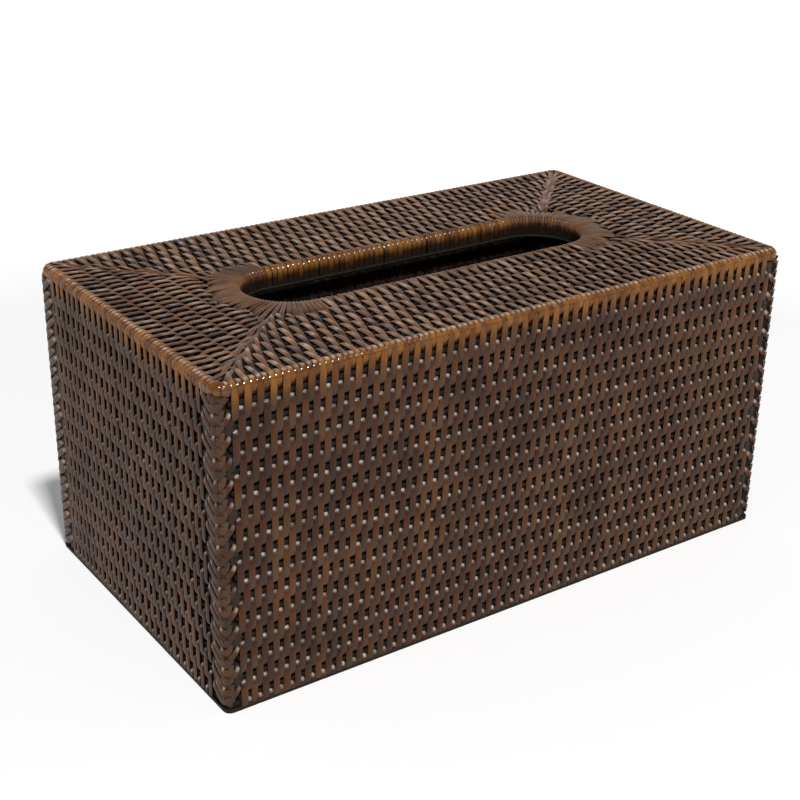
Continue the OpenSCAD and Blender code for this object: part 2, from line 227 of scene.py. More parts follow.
def weave_piece(name, strands, material, replaced):
    """One mesh object from many strands, with their marks, a map in millimetres and one for baking."""
    length = max(s.steps().sum() for s in strands) + BAKE_ENDS
    rows = max(1, round(math.sqrt(len(strands) * GIRTH / length)))
    columns = math.ceil(len(strands) / rows)
    cell = max(columns * GIRTH, rows * length)
    verts, corners, sizes, maps, bakes = [], [], [], [], []
    marks = {label: [] for label in MARKS}
    count = 0
    for i, s in enumerate(strands):
        ring = s.rings()
        verts.append(ring.reshape(-1, 3))
        for label, values in marks.items():
            across = GLINT_ACROSS if label == "glint" else np.ones(len(SECTION))
            values.append((getattr(s, label)[:, None] * across).ravel())
        strand_corners, strand_sizes, uv = strand_faces(s, ring, count)
        corners.append(strand_corners)
        sizes.append(strand_sizes)
        maps.append(uv + [0, s.start])
        bakes.append((uv + [(i % columns) * GIRTH + BAKE_INSET[0],
                            (i // columns) * length + BAKE_INSET[1]]) / cell)
        count += ring.shape[0] * ring.shape[1]
    mesh = woven_mesh(name, np.concatenate(verts), np.concatenate(corners), np.concatenate(sizes))
    for label, values in marks.items():
        mesh.attributes.new(label, "FLOAT", "POINT").data.foreach_set(
            "value", np.concatenate(values).astype(np.float32))
    for label, values in (("OFBake", bakes), ("peel", maps)):
        layer = mesh.uv_layers.new(name=label)
        layer.uv.foreach_set("vector", np.concatenate(values).astype(np.float32).ravel())
    mesh.validate()
    mesh.materials.append(material)
    piece = bpy.data.objects.new(name, mesh)
    bpy.context.scene.collection.objects.link(piece)
    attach(piece, "root")
    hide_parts(*replaced)
    return piece


# ---- places on the four sides ----
# 0 front, 1 right, 2 back, 3 left, as seen from above
def half_run(side):
    return HALF_X if side % 2 == 0 else HALF_Y


def half_out(side):
    return HALF_Y if side % 2 == 0 else HALF_X


def turned(side, v):
    a = math.radians(90 * side)
    x, y = v[:, 0], v[:, 1]
    return np.stack([x * math.cos(a) - y * math.sin(a), x * math.sin(a) + y * math.cos(a), v[:, 2]], 1)


def on_wall(side, x, u, s):
    """World places for places along a wall, in from its face and down from the top edge."""
    return turned(side, np.stack([x, u - half_out(side), BOX_H - s], 1))


def on_top(side, x, u, s):
    """World places for places along a side, down from the top face and in from that side's edge."""
    return turned(side, np.stack([x, s - half_out(side), BOX_H - u], 1))


def leaning(side, tilt):
    """Outward sides on a wall, tilted up from the wall's own."""
    return turned(side, np.stack([np.zeros(len(tilt)), -np.cos(tilt), np.sin(tilt)], 1))


def braid_width(side):
    return BRAID_LONG_W if side % 2 == 0 else BRAID_SHORT_W


# ---- the path of a strand over and under the rods ----
MID_TURN = 0.55         # a point on the turn round a rod of the top, as a share of it
TURN_STEPS = np.array([0, 0.5, 1.1, 1.9, 3.1])    # points past it, close together where it bends
FLAT_STEP = 2.0         # the last point before the next rod
KNUCKLE_SHARES = np.array([1, 0.72, 0.45, 0.2, 0])
DIVE_EASE = 1.3         # half the length of the bend at which a dive starts
DIVE_SAGS = (0.02, 0.25)          # how deep it lies at that bend's start and middle
DIVE_MID = 0.5          # a point past the middle of the straight dive
ARC_STEP = 13           # degrees between points round the rail


def between_rods(pitch, u_rod):
    """Depths from a rod that a strand passes inside to the next, which it passes outside."""
    x_turn = ROD_TURN * math.sin(EXIT_ANGLE)
    u_turn = u_rod + ROD_TURN * math.cos(EXIT_ANGLE)
    power = math.tan(EXIT_ANGLE) * (pitch - x_turn) / (u_turn - CREST_U)
    x = np.concatenate([[0, MID_TURN * x_turn], x_turn + TURN_STEPS, [pitch - FLAT_STEP, pitch]])
    near = u_rod + np.sqrt(np.maximum(ROD_TURN ** 2 - x ** 2, 0))
    far = CREST_U + (u_turn - CREST_U) * (np.maximum(pitch - x, 0) / (pitch - x_turn)) ** power
    return x, np.where(x <= x_turn, near, far)


def knuckle(pitch, u_rod):
    """Depths from a wall rod that a strand passes inside down to the next, which it passes outside."""
    a = KNUCKLE_ANGLE
    x_turn, u_turn = ROD_TURN * math.sin(a), u_rod + ROD_TURN * math.cos(a)
    out = u_turn - CREST_U - KNUCKLE_R * (1 - math.cos(a))
    x_arc = x_turn + out / math.tan(a)
    b = a * KNUCKLE_SHARES
    x = np.concatenate([[0, ROD_TURN * math.sin(a / 2), x_turn],
                        x_arc + KNUCKLE_R * (math.sin(a) - np.sin(b)), [pitch]])
    u = np.concatenate([[u_rod + ROD_TURN, u_rod + ROD_TURN * math.cos(a / 2), u_turn],
                        CREST_U + KNUCKLE_R * (1 - np.cos(b)), [CREST_U]])
    return x, u


def slow_dive(pitch, u_rod):
    """Depths from a wall rod that a strand passes outside down to the next, which it passes inside."""
    a = DIVE_ANGLE
    x_in, u_in = pitch - ROD_TURN * math.sin(a), u_rod + ROD_TURN * math.cos(a)
    x_out = x_in - (u_in - CREST_U) / math.tan(a)
    x = np.array([0, x_out - DIVE_EASE, x_out, x_out + DIVE_EASE, (x_out + x_in) / 2 + DIVE_MID, x_in,
                  pitch - ROD_TURN * math.sin(a / 2), pitch])
    u = np.array([CREST_U, CREST_U + DIVE_SAGS[0], CREST_U + DIVE_SAGS[1],
                  CREST_U + DIVE_EASE * math.tan(a), u_in - ((x_in - x_out) / 2 - DIVE_MID) * math.tan(a),
                  u_in, u_rod + ROD_TURN * math.cos(a / 2), u_rod + ROD_TURN])
    return x, u


def rail_arc(start, stop, steps):
    """[distance, depth] round the rail, by the angle from its outermost line towards the face."""
    a = np.radians(np.linspace(start, stop, steps))
    return np.stack([RAIL_S - RAIL_TURN * np.sin(a), RAIL_S - RAIL_TURN * np.cos(a)], 1)


def dive(rod_s, u_rod):
    """From round the rail to inside the first rod, along the tangent that crosses between them."""
    across = math.hypot(rod_s - RAIL_S, u_rod - RAIL_S)
    tilt = math.asin((RAIL_TURN + ROD_TURN) / across) + math.atan2(RAIL_S - u_rod, rod_s - RAIL_S)
    arc = rail_arc(0, -math.degrees(tilt), 4)[1:]
    a = np.linspace(tilt, 0, 4)
    turn = np.stack([rod_s - ROD_TURN * np.sin(a), u_rod + ROD_TURN * np.cos(a)], 1)
    return np.concatenate([arc, turn])


def woven_path(parity, rods, u_rod, arc_from, knuckles=False):
    """[distance, depth] of a strand from the rail over and under all rods. Parity 0 dives first."""
    pitch = rods[1] - rods[0]
    x, u = between_rods(pitch, u_rod)
    leaving, entering = (x, u), (pitch - x[::-1], u[::-1])
    if knuckles:
        leaving, entering = knuckle(pitch, u_rod), slow_dive(pitch, u_rod)
    path = [rail_arc(arc_from, 0, round(arc_from / ARC_STEP) + 1)]
    if parity == 0:
        path.append(dive(rods[0], u_rod))
    else:
        path.append(np.array([[(RAIL_S + rods[0]) / 2, OUTER_U], [rods[0], CREST_U]]))
    for k in range(len(rods) - 1):
        x, u = leaving if (k + parity) % 2 == 0 else entering
        path.append(np.stack([rods[k] + x[1:], u[1:]], 1))
    return np.concatenate(path)


def ends_inside(parity, rods):
    """Whether a strand passes inside the last of the rods."""
    return (len(rods) - 1 + parity) % 2 == 0


def recess(u, u_rod):
    """How far in a strand lies, from 0 at a crest to 1 well inside the rods."""
    return clip01((u - CREST_U) / (2 * (u_rod - CREST_U)))


def spread(u):
    """What is added to the half width of a strand as it goes in between and behind its neighbours."""
    return np.interp(u - CREST_U, [0.7, 1.2, 1.8], [0, 0.35, (INNER_W - STRAND_W) / 2])


def shade(u, u_rod, start, over):
    """How much painted shade a strand gets: only where it lies inside the rods, out of the light."""
    return clip01((recess(u, u_rod) - start) / over)


def run_of(s, parity, rods):
    """Share of the way from one pass inside a rod to the next, two rods on."""
    pitch = rods[1] - rods[0]
    return np.maximum((s - rods[0] - parity * pitch) / (2 * pitch), -0.5) % 1.0


def waver(n, size, knots):
    """A slow random drift along a strand."""
    t = np.linspace(0, knots - 1, n)
    values = rng.normal(0, size, knots)
    return np.interp(t, np.arange(knots), values)


# ---- wall strands ----
# Distance from a rod that a wall strand passes inside, the half width of the strand, how thick it
# is, and how strong the painted highlight on its skin is where it bends: a narrow domed knuckle, a full
# body, then a tail
FLOAT_X = [0, 1.44, 1.92, 2.3, 3.1, 5.0, 6.2, 8.2, 9.6, 11.3, 12.6, 13.6, 16.4]
FLOAT_HALF = [1.0, 1.3, 1.12, 1.18, 1.36, 1.62, 1.62, 1.38, 1.31, 1.40, 1.36, 1.34, 1.0]
FLOAT_THICK = [0.7, 0.8, 1.0, 1.0, 0.9, 0.8, 0.75, 0.7, 0.7, 0.7, 0.7, 0.7, 0.7]
GLINT_X, GLINT = [0, 1.44, 1.75, 2.05, 2.4, 16.4], [0, 0.2, 1, 0.8, 0, 0]
FLOAT_DRAWS = 16        # draws for the painted highlights of a strand, more than it has floats
WALL_GLINTS = (0.3, 1)    # how strong those painted highlights are
WALL_ARC = 28           # degrees round the rail, above its outermost line, at which wall strands start
SIDE_ENDS = 4.2         # from a corner to where the lines of strands on that side end
POST_CLEAR = 5.2        # from a corner to the nearest strand, beside the post
LEAN = 0.45             # sideways drift of a strand from one wall rod to the next
WANDER_STEP, WANDER = 11.0, 0.35  # neighbours wander together as well, so that they stay packed
PLACE_SPREAD = 0.05     # how uneven their spacing is
SIDE_WAVER, WIDTH_WAVER, DEPTH_WAVER = (0.06, 9), (0.02, 7), (0.12, 24)   # sizes and knots
RAIL_NARROW, RAIL_FADE = 0.12, 2  # a strand is narrower by this share over the rail, and this near it
KNUCKLE_SHADE, DIVE_SHADE = (0.5, 0.2), (0.8, 0.18)   # recess where the painted shade starts, and over what
SUNLIT_REACH, SUNLIT_FADE = 9.5, 4  # how far down the wall the painted light of the amber edge goes, and how slowly it ends
# Strands that run on, hidden, under a herringbone corner
UNDER_BRAID = 0.75      # how much deeper they lie
UNDER_HALF = 2.0        # their half width
UNDER_DEEP = 0.8        # their painted shade
UNDER_CLEAR = POST_CLEAR + 0.8


def side_lines(side):
    """Where the strands of a side cross the rail."""
    run = half_run(side) - SIDE_ENDS
    count = round(2 * run / STRAND_PITCH)
    return (np.arange(count) + 0.5) / count * 2 * run - run


LINE_TONES = [rng.random(len(side_lines(side))) for side in range(4)]


def wall_strands(side):
    strands = []
    foot_s = BOX_H - FOOT_T - CLEAR
    float_pitch = 2 * (WALL_RODS[1] - WALL_RODS[0])
    braid = braid_width(side)
    free = half_run(side) - braid                 # beside the herringbone the strands stand straight
    wander_x = np.arange(-HALF_X, HALF_X, WANDER_STEP)
    wander = rng.normal(0, WANDER, len(wander_x))
    for i, x0 in enumerate(side_lines(side)):
        near = half_run(side) - abs(x0)
        if near < POST_CLEAR:
            continue
        under = near < braid
        parity = i % 2
        inside_last = ends_inside(parity, WALL_RODS)
        end_u = WALL_U + ROD_TURN if inside_last else CREST_U
        path = woven_path(parity, WALL_RODS, WALL_U, WALL_ARC, knuckles=True)
        path = np.concatenate([path, [[(path[-1, 0] + foot_s) / 2, end_u], [foot_s, end_u]]])
        s, u = path.T
        n = len(s)
        x = x0 + rng.normal(0, PLACE_SPREAD) + waver(n, *SIDE_WAVER)
        drift = np.interp(x0, wander_x, wander) - LEAN / WALL_ROD_SPACING * s
        x = x + drift * max(1 - (x0 / free) ** 2, 0)
        run = run_of(s, parity, WALL_RODS)
        place = run * float_pitch
        half = np.interp(place, FLOAT_X, FLOAT_HALF) * (1 + rng.normal(0, WIDTH_SPREAD))
        half = half * (1 + waver(n, *WIDTH_WAVER))
        half = half * (1 - RAIL_NARROW * clip01((RAIL_S + RAIL_FADE - s) / RAIL_FADE)) + spread(u)
        floats = ((s - WALL_RODS[0]) / float_pitch + 2).astype(int)
        # a painted highlight on each knuckle, of a random strength for each float
        glint = np.interp(place, GLINT_X, GLINT) * rng.uniform(*WALL_GLINTS, FLOAT_DRAWS)[floats]
        glint = glint * (s > WALL_RODS[0])
        thick = np.interp(place, FLOAT_X, FLOAT_THICK)
        deep = np.where(run < 0.5, shade(u, WALL_U, *KNUCKLE_SHADE), shade(u, WALL_U, *DIVE_SHADE))
        u = u + np.abs(waver(n, *DEPTH_WAVER)) * (1 - recess(u, WALL_U))
        keep = slice(None)
        if under:
            u, deep, half = u + UNDER_BRAID, np.maximum(deep, UNDER_DEEP), np.full(n, UNDER_HALF)
            x = np.full(n, math.copysign(half_run(side) - max(near, UNDER_CLEAR), x0))
            glint = np.zeros(n)
            keep = slice(int(np.argmax(s > RAIL_S + RAIL_R)), None)
        points = on_wall(side, x, u, s)
        outward = leaning(side, np.arctan2(RAIL_S - s, RAIL_S - path[:, 1]) * (s < RAIL_S))
        amber = (SUNLIT_REACH - s) / SUNLIT_FADE
        strands.append(Strand(points[keep], outward[keep], half[keep], LINE_TONES[side][i], deep[keep],
                              amber[keep], thick[keep], run[keep], glint[keep]))
        if inside_last and not under:
            strands.append(toe(side, x[-1], LINE_TONES[side][i]))
    return strands


# The end of a strand at the hoop: places below the hoop's axis, depths, tilts, half widths and marks:
# its share along the float and a painted highlight
TOE_S, TOE_U = np.array([-1.35, -1.1, -0.7, 0.0, 1.1]), np.array([1.6, 1.1, 0.66, CREST_U, CREST_U])
TOE_TILT, TOE_HALF = np.radians([70, 55, 30, 5, 0]), [0.9, 0.95, 1.05, 1.15, 1.15]
TOE_RUN, TOE_GLINT = [0.08, 0.12, 0.15, 0.19, 0.26], np.array([0.3, 1, 0.7, 0, 0])
TOE_GLINTS = (0.4, 1)


def toe(side, x, tone):
    """The end of a strand that has gone inside the last rod: it comes back up over the hoop."""
    points = on_wall(side, np.full(len(TOE_S), x), TOE_U, HOOP_S + TOE_S)
    return Strand(points, leaning(side, TOE_TILT), TOE_HALF, tone, run=TOE_RUN,
                  glint=TOE_GLINT * rng.uniform(*TOE_GLINTS))


# ---- strands across the top ----
TOP_ARC = 65            # degrees round the rail at which strands of the top start
CREST_S = RAIL_S - RAIL_TURN * math.sin(math.radians(15))  # where the painted highlights on the rail are
CREST_SPOT, MIDDLE_SPOT = 0.9, 0.2                  # half lengths of the painted highlights, the second as a share
CREST_GLINTS, MIDDLE_GLINTS = (0.2, 1.1), (0, 0.65)   # how strong they are, and those amid the floats
MITRE_SOFT = 8.0        # how gently a strand turns into the mitre
MITRE_HALF = 1.0        # from the mitre to the nearest strand beside it
MITRE_RUN = 6.0         # how far a strand runs along the mitre before it tucks under
LEAST_RUN, LEAST_POINTS = 12, 5   # the shortest that a strand may be
PAST_RODS, PAST_U = (3, 6, 14), OUTER_U + 0.6     # points of a strand past the last rod
MITRE_TUCK, FAN_TUCK = 2.2, 1.25  # how deep a strand ends at the mitre, and under the fan
TUCK_RUN = 5            # over what it dips there
FAN_OVERLAP = 0.6       # how far strands run on under the fan
LEAST_HALF = 0.8        # of a strand where the mitre leaves little room
PINCH, PINCH_RISE = 0.42, 3.5     # a strand is narrower by this share beside a rod, this soon
RIM_PINCH, RIM_ZONE = 0.1, 2      # by this at the rim and this near it
TOP_RAIL_NARROW = 0.10  # and by this over the rail
TOP_PLACE_SPREAD = 0.08
TOP_SIDE_WAVER, TOP_DEPTH_WAVER = (0.08, 6), (0.12, 10)
TOP_SHADE = (0.4, 0.35)
# painted light of the edge: how far it reaches on the top, how slowly it ends there, and how soon it comes
# in over the rim
TOP_SUNLIT_REACH, TOP_SUNLIT_FADE, RIM_SUNLIT_FADE = 4.6, 2, 1.5
RIM_SHADE_FROM, RIM_SHADE_OVER = (2.4, 4.0), 1.3  # how deep in the slot the wraps turn dark with painted shade
RIM_STEPS = 7
SKIRT_U = RAIL_S + (SKIRT_END - RAIL_S) * np.array([0.35, 0.7, 1])


def top_offset(start, s):
    """Distance from the corner of a strand that crosses the rail at `start` from it."""
    c = start - MITRE_SOFT ** 2 / (4 * np.maximum(start - MITRE_HALF, 1.2))
    q = c - s - MITRE_HALF
    return 0.5 * (c + s + MITRE_HALF + np.sqrt(q ** 2 + MITRE_SOFT ** 2))


def rim_arc(side_s):
    """[distance, depth] over the rim rod, from its top down its slot side to the hem."""
    a = np.radians(np.linspace(0, 90, RIM_STEPS))
    arc = np.stack([side_s + RAIL_TURN * np.sin(a), RAIL_S - RAIL_TURN * np.cos(a)], 1)
    return np.concatenate([arc, [[side_s + RAIL_TURN, u] for u in SKIRT_U]])


def top_path(parity, rods, rim_s, wraps):
    """[distance, depth] of a strand over the top, to the rim that it wraps or on past the rods."""
    path = woven_path(parity, rods, TOP_U, TOP_ARC)
    if not wraps:
        s, u = path[-1]
        past = [[s + PAST_RODS[0], u], [s + PAST_RODS[1], PAST_U], [s + PAST_RODS[2], PAST_U]]
        return np.concatenate([path, past])
    if ends_inside(parity, rods):
        mirrored = dive(RAIL_S + (rim_s - rods[-1]), TOP_U)[::-1]
        mirrored = np.stack([rim_s + RAIL_S - mirrored[:, 0], mirrored[:, 1]], 1)
        path = np.concatenate([path, mirrored[1:]])
    return np.concatenate([path, rim_arc(rim_s)])


def end_of(side, start, s, x, rim_s):
    """At which point a strand that doesn't wrap the rim ends, and how deep: past the mitre or in the
    fan, whichever comes first."""
    centre_x, centre_s = (SLOT_HALF, HALF_Y) if side % 2 == 0 else (0.0, HALF_X - SLOT_HALF)
    far = np.hypot(np.abs(x) - centre_x, s - centre_s)
    inside_fan = (far < FAN_R - FAN_OVERLAP) & (s < centre_s)
    if side % 2 == 0:
        inside_fan |= (np.abs(x) < centre_x) & (s > rim_s - RAIL_TURN)
    past = inside_fan | (s > max(start + MITRE_RUN, LEAST_RUN))
    stop = max(np.argmax(past) if past.any() else len(s), LEAST_POINTS)
    return stop, FAN_TUCK if inside_fan[min(stop, len(s) - 1)] else MITRE_TUCK


def top_strands(side):
    strands = []
    long_side = side % 2 == 0
    rods = TOP_RODS if long_side else TOP_RODS_SHORT
    rim_s = HALF_Y - SLOT_R if long_side else HALF_X - SLOT_HALF - SLOT_R
    for i, x0 in enumerate(side_lines(side)):
        parity = i % 2
        start = half_run(side) - abs(x0)
        wraps = long_side and abs(x0) < SLOT_HALF + 1
        s, u = top_path(parity, rods, rim_s, wraps).T
        level_s = np.minimum(s, rim_s) if wraps else s
        c = top_offset(start, np.clip(level_s - RAIL_S, 0, None))
        x = math.copysign(1, x0) * (half_run(side) - c)
        if not wraps:
            stop, tuck = end_of(side, start, s, x, rim_s)
            s, u, x, c = s[:stop], u[:stop], x[:stop], c[:stop]
            ease = clip01((s - s[-1] + TUCK_RUN) / TUCK_RUN) ** 2
            u = u + ease * np.maximum(tuck - u, 0)
        n = len(s)
        along = np.clip(np.minimum(s, rim_s) - RAIL_S, 0, None)
        gap = np.abs(top_offset(start + STRAND_PITCH, along) - top_offset(start, along))
        lean = np.gradient(c) / np.maximum(np.gradient(s), 0.2)
        room = gap / np.sqrt(1 + clip01(lean) ** 2)
        width = np.clip(0.5 * room, LEAST_HALF, STRAND_W / 2) * (1 + rng.normal(0, WIDTH_SPREAD))
        by_rim = s >= rim_s - RIM_ZONE
        pinch = PINCH * clip01(recess(u, TOP_U) * PINCH_RISE) * clip01((s - RAIL_S - 1) / 2)
        pinch = np.where(by_rim, RIM_PINCH, pinch)
        width = width * (1 - pinch) + spread(u) * (s < rim_s - 1)
        width = width * (1 - TOP_RAIL_NARROW * clip01((RAIL_S + 1 - s) / 2))
        x = x + rng.normal(0, TOP_PLACE_SPREAD) + waver(n, *TOP_SIDE_WAVER)
        depth = u + np.abs(waver(n, *TOP_DEPTH_WAVER)) * (1 - recess(u, TOP_U)) * (s > RAIL_S + 2)
        tilt = np.where(s < RAIL_S, np.arctan2(RAIL_S - s, RAIL_S - u), 0.0)
        amber = (TOP_SUNLIT_REACH - s) / TOP_SUNLIT_FADE
        # painted highlights on the rail's crest and amid the floats
        glint = clip01(1 - np.abs(s - CREST_S) / CREST_SPOT) * rng.uniform(*CREST_GLINTS)
        middle = clip01(1 - np.abs(run_of(s, parity, rods) - 0.5) / MIDDLE_SPOT)
        middle = middle * (s > RAIL_S + 4) * (s < rim_s - RIM_ZONE)
        floats = np.clip((s - rods[0]) / (2 * (rods[1] - rods[0])) + 2, 0, FLOAT_DRAWS - 1).astype(int)
        glint = np.maximum(glint, middle * rng.uniform(*MIDDLE_GLINTS, FLOAT_DRAWS)[floats])
        deep = shade(depth, TOP_U, *TOP_SHADE)
        if wraps:
            over_rim = s > rim_s
            tilt = np.where(over_rim, np.arctan2(rim_s - s, np.maximum(RAIL_S - u, 0)), tilt)
            amber = np.where(over_rim, (s - rim_s) / RIM_SUNLIT_FADE, amber)
            deep = np.where(over_rim, (u - rng.uniform(*RIM_SHADE_FROM)) / RIM_SHADE_OVER, deep)
        outward = turned(side, np.stack([np.zeros(n), -np.sin(tilt), np.cos(tilt)], 1))
        strands.append(Strand(on_top(side, x, depth, s), outward, width, LINE_TONES[side][i], deep, amber,
                              glint=glint))
    return strands


# ---- fan and wraps round each slot end ----
FAN_RIBS = 44
FAN_RAGGED = (-2.4, 2.6)          # by how much the ribs end short of the fan's reach or beyond it
RIB_END = np.array([2.6, 1.2, -0.6, -2.6])        # points of a rib, out from where it ends
RIB_NEAR = np.array([3.6, 1.8])   # and out from the edge of the slot, and the depths of all six
RIB_U = [1.9, 1.25, CREST_U + 0.3, CREST_U + 0.12, CREST_U + 0.05, OUTER_U + 0.04]
RIB_FILL, RIB_LEAST = 0.9, 0.6    # how much of its room a rib fills, and its least half width
RIB_LIFT, RIB_TONES = (0, 0.25), (0.15, 0.5)
RIB_SHADE_FROM, RIB_SHADE_OVER = (1.6, 3.0), 1.6
# painted light where the ribs turn into the slot, and over what it comes in
RIB_SUNLIT, RIB_SUNLIT_FADE = 0.55, 1.5
FAN_TURN_FROM, FAN_TURN_OVER = 20, 40             # degrees over which ribs turn out to the long sides


def slot_end(sign):
    strands = []
    a = np.radians(np.linspace(0, 90, 6))
    for i in range(FAN_RIBS):
        angle = math.pi * ((i + 0.5) / FAN_RIBS - 0.5)
        reach = FAN_R + rng.uniform(*FAN_RAGGED)
        r = np.concatenate([reach + RIB_END, SLOT_R + RIB_NEAR, SLOT_R - RAIL_TURN * np.sin(a),
                            np.full(len(SKIRT_U), SLOT_R - RAIL_TURN)])
        u = np.concatenate([RIB_U, RAIL_S - RAIL_TURN * np.cos(a), SKIRT_U])
        u = u + rng.uniform(*RIB_LIFT) * clip01((r - SLOT_R) / FAN_REACH)
        ray = np.array([sign * math.cos(angle), math.sin(angle)])
        swing = min(max((abs(math.degrees(angle)) - FAN_TURN_FROM) / FAN_TURN_OVER, 0), 1)
        beyond = unit(np.array([ray[0], ray[1] * swing]))
        near, far = np.minimum(r, SLOT_R + RIB_NEAR[-1]), np.maximum(r - SLOT_R - RIB_NEAR[-1], 0)
        points = np.stack([sign * SLOT_HALF + ray[0] * near + beyond[0] * far,
                           ray[1] * near + beyond[1] * far, BOX_H - u], 1)
        tilt = np.where(r < SLOT_R, np.arctan2(SLOT_R - r, np.maximum(RAIL_S - u, 0)), 0.0)
        outward = np.stack([-ray[0] * np.sin(tilt), -ray[1] * np.sin(tilt), np.cos(tilt)], 1)
        half = np.clip(r * math.pi / FAN_RIBS / 2 * RIB_FILL, RIB_LEAST, STRAND_W / 2)
        deep = np.where(r < SLOT_R, (u - rng.uniform(*RIB_SHADE_FROM)) / RIB_SHADE_OVER,
                        (r - reach) / RIB_END[0])
        strands.append(Strand(points, outward, half, rng.uniform(*RIB_TONES), deep,
                              RIB_SUNLIT * clip01((SLOT_R - r) / RIB_SUNLIT_FADE)))
    return strands


# ---- strands along each mitre ----
MITRE_LANES = (-1.1, 1.1)         # its two strands, beside its line
MITRE_START = 6.0       # from the corner of the box to their ends
MITRE_WAVE, MITRE_WAVE_U = 0.4, CREST_U + 0.45    # they rise and fall by this, about this depth
MITRE_WAVE_RUN, MITRE_WAVER = 8.0, (0.12, 6)
MITRE_DIPS, MITRE_DIP_RUN = (1.5, 1.0), 3         # and dip at the corner and at the fan
MITRE_GAP = 0.5         # from the fan
MITRE_FLARE, MITRE_FLARE_RUN = 0.9, 10            # how much farther apart they start, and over what


def mitre_strands():
    strands = []
    centre, corner = np.array([SLOT_HALF, 0.0]), np.array([HALF_X, HALF_Y])
    heading = unit(centre - corner)
    normal = np.array([-heading[1], heading[0]])
    reach = np.linalg.norm(centre - corner) - FAN_R - MITRE_GAP
    d = np.linspace(MITRE_START, reach, 28)
    dips = (MITRE_DIPS[0] * clip01((MITRE_START + MITRE_DIP_RUN - d) / MITRE_DIP_RUN),
            MITRE_DIPS[1] * clip01((d - reach + MITRE_DIP_RUN) / MITRE_DIP_RUN))
    for sx in (-1, 1):
        for sy in (-1, 1):
            for j, lane in enumerate(MITRE_LANES):
                u = MITRE_WAVE_U + MITRE_WAVE * np.sin(d / MITRE_WAVE_RUN * math.pi + j * math.pi)
                u = u + dips[0] + dips[1]
                flare = MITRE_FLARE * clip01((MITRE_START + MITRE_FLARE_RUN - d) / MITRE_FLARE_RUN)
                aside = lane * (1 + flare) + waver(len(d), *MITRE_WAVER)
                xy = corner + heading * d[:, None] + normal * aside[:, None]
                points = np.stack([sx * xy[:, 0], sy * xy[:, 1], BOX_H - u], 1)
                strands.append(Strand(points, [0, 0, 1], 1.0, deep=(u - 0.6) / 3))
    return strands


# ---- wraps over the corners of the rail ----
CORNER_WRAPS = np.radians([12, 45, 78])           # round each corner of the rail
CORNER_ARC = (-50, 100)           # degrees round the rail that they cover
CORNER_FILL, CORNER_HALF = 0.30, (0.5, 1.35)      # half width: a share of the radius, between these
CORNER_TONES = (0.75, 0.2)
WRAP_END = -42          # degrees round the rail where the wraps above a herringbone end


def rail_corner_wraps():
    strands = []
    bend_x, bend_y = HALF_X - RAIL_S - RAIL_BEND, HALF_Y - RAIL_S - RAIL_BEND
    a = np.radians(np.linspace(*CORNER_ARC, 9))
    r = RAIL_BEND + RAIL_TURN * np.cos(a)
    z = BOX_H - RAIL_S + RAIL_TURN * np.sin(a)
    half = np.clip(r * CORNER_FILL, *CORNER_HALF)
    for sx in (-1, 1):
        for sy in (-1, 1):
            for angle in CORNER_WRAPS:
                ray = np.array([sx * math.cos(angle), sy * math.sin(angle)])
                points = np.stack([sx * bend_x + ray[0] * r, sy * bend_y + ray[1] * r, z], 1)
                outward = np.stack([ray[0] * np.cos(a), ray[1] * np.cos(a), np.sin(a)], 1)
                tone = CORNER_TONES[0] + CORNER_TONES[1] * rng.random()
                strands.append(Strand(points, outward, half, tone))
    # wraps over the rail above each herringbone, wholly in the painted light of the edge
    path = rail_arc(WALL_ARC, WRAP_END, 6)
    tilt = np.radians(np.linspace(WALL_ARC, WRAP_END, 6))
    for side in range(4):
        for x0 in side_lines(side):
            if half_run(side) - abs(x0) <= braid_width(side):
                points = on_wall(side, np.full(len(path), x0), path[:, 1], path[:, 0])
                strands.append(Strand(points, leaning(side, tilt), STRAND_W / 2 * 0.88, amber=1))
    return strands


# ---- herringbone corners ----
# The arms of each wall: slope, gap below the rod, depth, how much deeper they end and how much steeper
# they get at the corner, half width. Then, for each of a pair: start, end, and how much lower it starts
LONG_ARMS = (math.radians(52), 0.1, 0.30, 1.1, 0.4, 1.2), ((3.4, -0.2, 0), (5.9, -0.4, 0.9))
SHORT_ARMS = (math.radians(35), 0.4, 0.14, 0.25, 1.0, 1.42), ((8.6, -0.7, 0), (10.9, -0.5, 2.5))
BRAID_LOW, BRAID_TOP = FOOT_T + 0.2, BOX_H - RAIL_S - 1.0
BRAID_CORNER = 2.6      # from the corner to where the arms start to steepen
BRAID_JITTER = 0.15
ARM_POINTS, LEAST_ARM = 14, 3     # points of an arm, and the fewest that are left of one
ARM_RISE, ARM_RISE_RUN = 1.9, 2.0 # how much deeper an arm starts, and over what it rises
ARM_CROWN = 0.12        # how much it bulges out at its middle
ARM_END, ARM_NARROW = 2.2, 0.3    # over this the end of an arm goes deeper, and narrows by this share
ARM_SPREAD = 0.04       # how unlike the arms are in width, as a share
ARM_SHADE_FROM, ARM_SHADE_OVER = 0.9, 1.4
ARM_HALF_X, ARM_HALF = [0, 0.8, 3], [0.75, 0.8, 1]
# painted highlights near the upper end of each arm, and how strong they are
ARM_GLINT_X, ARM_GLINT, ARM_GLINTS = [0, 0.7, 1.3, 2.2, 3.0], [0, 0.2, 0.9, 0.6, 0], (0.3, 1)
ARM_RUN_X, ARM_RUN = [0, 1.5, 4, 9], [0.13, 0.16, 0.34, 0.75]


def skin_place(w, depth):
    """Plan place and inward side at a distance w round the corner, above zero on the long wall."""
    r = POST_S - depth
    quarter = POST_S * math.pi / 4
    if abs(w) <= quarter:
        a = w / POST_S
        d = np.array([math.cos(math.pi / 4 - a), math.sin(math.pi / 4 - a)])
        return np.array([POST_S, POST_S]) - d * r, -d
    run = abs(w) - quarter
    if w > 0:
        return np.array([POST_S + run, depth]), np.array([0.0, -1.0])
    return np.array([depth, POST_S + run]), np.array([-1.0, 0.0])


